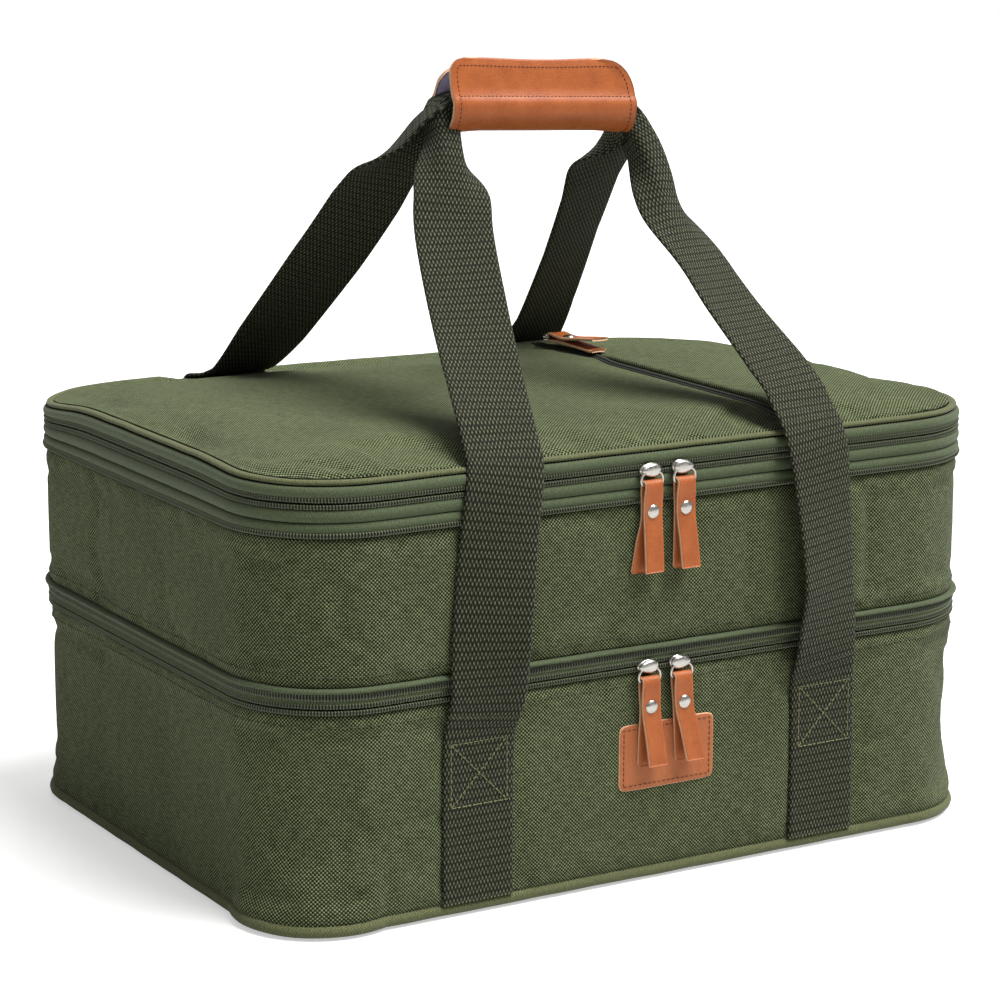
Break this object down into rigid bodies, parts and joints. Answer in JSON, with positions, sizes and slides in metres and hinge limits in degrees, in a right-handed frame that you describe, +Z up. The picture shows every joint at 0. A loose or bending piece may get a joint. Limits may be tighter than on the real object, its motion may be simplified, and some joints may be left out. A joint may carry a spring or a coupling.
{
  "type": "casserole carrier",
  "caption": "Insulated expandable carrier for hot dishes: stacked zipped decks, a padded lid with a zipped pocket, and webbing handles gathered in a leather grip wrap.",
  "frame": {"origin": "under the middle of the base, on the surface that the carrier stands on", "axes": "+X to the right along the front, +Y from the front to the back, +Z up"},
  "size_m": [0.426, 0.3365, 0.4025],
  "materials": {
    "heather_cloth": "matt heathered woven polyester",
    "base_cloth": "matt coated cloth",
    "zip_tape": "woven tape with nylon coil",
    "piping": "matt woven binding over cord",
    "foam": "closed-cell foam, hidden",
    "liner": "silvered wipe-clean film",
    "webbing": "matt heavy webbing",
    "leather": "satin full grain",
    "nickel": "polished nickel plate",
    "hook_tape": "hook-and-loop tape"
  },
  "bodies": {
    "base": {"base_panel": "base_cloth", "base_piping": "piping", "lower_outer_wall": "heather_cloth", "lower_foam_wall": "foam", "lower_foam_floor": "foam", "lower_liner": "liner", "lower_zip_base_half": "zip_tape", "label_patch": "leather", "front_left_strap_end": "webbing", "front_right_strap_end": "webbing", "back_left_strap_end": "webbing", "back_right_strap_end": "webbing"},
    "upper_deck": {"divider_pad": "foam", "upper_outer_wall": "heather_cloth", "upper_foam_wall": "foam", "upper_liner": "liner", "lower_zip_deck_half": "zip_tape", "expansion_zip_lower_half": "zip_tape", "expansion_ledge": "zip_tape", "expansion_zip_upper_half": "zip_tape", "lid_zip_deck_half": "zip_tape"},
    "lid": {"lid_outer": "heather_cloth", "lid_foam": "foam", "lid_liner": "liner", "lid_piping": "piping", "lid_zip_lid_half": "zip_tape", "pocket_zip": "zip_tape"},
    "lid_left_slide": {"lid_left_slider": "nickel"},
    "lid_left_pull": {"lid_left_ring": "nickel", "lid_left_tab": "leather", "lid_left_rivet": "nickel"},
    "lid_right_slide": {"lid_right_slider": "nickel"},
    "lid_right_pull": {"lid_right_ring": "nickel", "lid_right_tab": "leather", "lid_right_rivet": "nickel"},
    "lower_left_slide": {"lower_left_slider": "nickel"},
    "lower_left_pull": {"lower_left_ring": "nickel", "lower_left_tab": "leather", "lower_left_rivet": "nickel"},
    "lower_right_slide": {"lower_right_slider": "nickel"},
    "lower_right_pull": {"lower_right_ring": "nickel", "lower_right_tab": "leather", "lower_right_rivet": "nickel"},
    "pocket_slide": {"pocket_slider": "nickel"},
    "pocket_pull": {"pocket_ring": "nickel", "pocket_tab": "leather", "pocket_rivet": "nickel"},
    "expansion_slide": {"expansion_slider": "nickel"},
    "expansion_tag": {"expansion_pull": "nickel"},
    "front_legs": {"front_left_leg": "webbing", "front_right_leg": "webbing"},
    "front_handle": {"front_loop": "webbing", "wrap_front_flap": "leather", "hook_strip": "hook_tape"},
    "back_legs": {"back_left_leg": "webbing", "back_right_leg": "webbing"},
    "back_handle": {"back_loop": "webbing"},
    "wrap_turn": {"wrap_fold": "leather"},
    "wrap_back": {"wrap_back_flap": "leather", "loop_strip": "hook_tape"}
  },
  "joints": [
    {"name": "tray_open", "type": "hinge", "parent": "base", "child": "upper_deck", "pos_m": [0, 0.1594, 0.111], "axis": [-1, 0, 0], "range_deg": [0, 65]},
    {"name": "lid_open", "type": "hinge", "parent": "upper_deck", "child": "lid", "pos_m": [0, 0.1594, 0.2095], "axis": [-1, 0, 0], "range_deg": [0, 85]},
    {"name": "front_legs_fold", "type": "hinge", "parent": "base", "child": "front_legs", "pos_m": [0, -0.1581, 0.09], "axis": [1, 0, 0], "range_deg": [0, 77]},
    {"name": "front_handle_fold", "type": "hinge", "parent": "front_legs", "child": "front_handle", "pos_m": [0, -0.1609, 0.1085], "axis": [1, 0, 0], "range_deg": [0, 43]},
    {"name": "back_legs_fold", "type": "hinge", "parent": "base", "child": "back_legs", "pos_m": [0, 0.1581, 0.09], "axis": [-1, 0, 0], "range_deg": [0, 60]},
    {"name": "back_handle_fold", "type": "hinge", "parent": "back_legs", "child": "back_handle", "pos_m": [0, 0.1609, 0.1085], "axis": [-1, 0, 0], "range_deg": [0, 65]},
    {"name": "wrap_turn_open", "type": "hinge", "parent": "front_handle", "child": "wrap_turn", "pos_m": [0, -0.0475, 0.371], "axis": [-1, 0, 0], "range_deg": [0, 95], "deforming": ["wrap_fold"]},
    {"name": "wrap_back_open", "type": "hinge", "parent": "wrap_turn", "child": "wrap_back", "pos_m": [0, -0.0225, 0.371], "axis": [-1, 0, 0], "range_deg": [0, 95.5], "deforming": ["wrap_back_flap", "loop_strip"]},
    {"name": "lid_left_zip", "type": "slide", "parent": "upper_deck", "child": "lid_left_slide", "axis": [-1, 0, 0], "range_m": [0, 0.06]},
    {"name": "lid_left_swing", "type": "hinge", "parent": "lid_left_slide", "child": "lid_left_pull", "pos_m": [-0.0095, -0.1612, 0.2095], "axis": [-1, 0, 0], "range_deg": [0, 90]},
    {"name": "lid_right_zip", "type": "slide", "parent": "upper_deck", "child": "lid_right_slide", "axis": [1, 0, 0], "range_m": [0, 0.06]},
    {"name": "lid_right_swing", "type": "hinge", "parent": "lid_right_slide", "child": "lid_right_pull", "pos_m": [0.0095, -0.1612, 0.2095], "axis": [-1, 0, 0], "range_deg": [0, 90]},
    {"name": "lower_left_zip", "type": "slide", "parent": "base", "child": "lower_left_slide", "axis": [-1, 0, 0], "range_m": [0, 0.06]},
    {"name": "lower_left_swing", "type": "hinge", "parent": "lower_left_slide", "child": "lower_left_pull", "pos_m": [-0.0095, -0.1612, 0.111], "axis": [-1, 0, 0], "range_deg": [0, 90]},
    {"name": "lower_right_zip", "type": "slide", "parent": "base", "child": "lower_right_slide", "axis": [1, 0, 0], "range_m": [0, 0.06]},
    {"name": "lower_right_swing", "type": "hinge", "parent": "lower_right_slide", "child": "lower_right_pull", "pos_m": [0.0095, -0.1612, 0.111], "axis": [-1, 0, 0], "range_deg": [0, 90]},
    {"name": "pocket_zip_run", "type": "slide", "parent": "lid", "child": "pocket_slide", "axis": [0, -1, 0], "range_m": [0, 0.16]},
    {"name": "pocket_swing", "type": "hinge", "parent": "pocket_slide", "child": "pocket_pull", "pos_m": [0.087, 0.09, 0.2348], "axis": [-1, 0, 0], "range_deg": [0, 35]},
    {"name": "expansion_zip_run", "type": "slide", "parent": "upper_deck", "child": "expansion_slide", "axis": [-1, 0, 0], "range_m": [0, 0.12]},
    {"name": "expansion_swing", "type": "hinge", "parent": "expansion_slide", "child": "expansion_tag", "pos_m": [0.06, 0.162, 0.1941], "axis": [1, 0, 0], "range_deg": [0, 90]}
  ],
  "couplings": [
    {"joint": "front_legs_fold", "follows": "lid_open", "ratio": 0.9},
    {"joint": "front_handle_fold", "follows": "tray_open", "ratio": 0.65},
    {"joint": "back_legs_fold", "follows": "lid_open", "ratio": 0.7},
    {"joint": "back_handle_fold", "follows": "tray_open", "ratio": 1},
    {"joint": "wrap_turn_open", "follows": "tray_open", "ratio": 1.46},
    {"joint": "wrap_back_open", "follows": "lid_open", "ratio": 1.118}
  ]
}
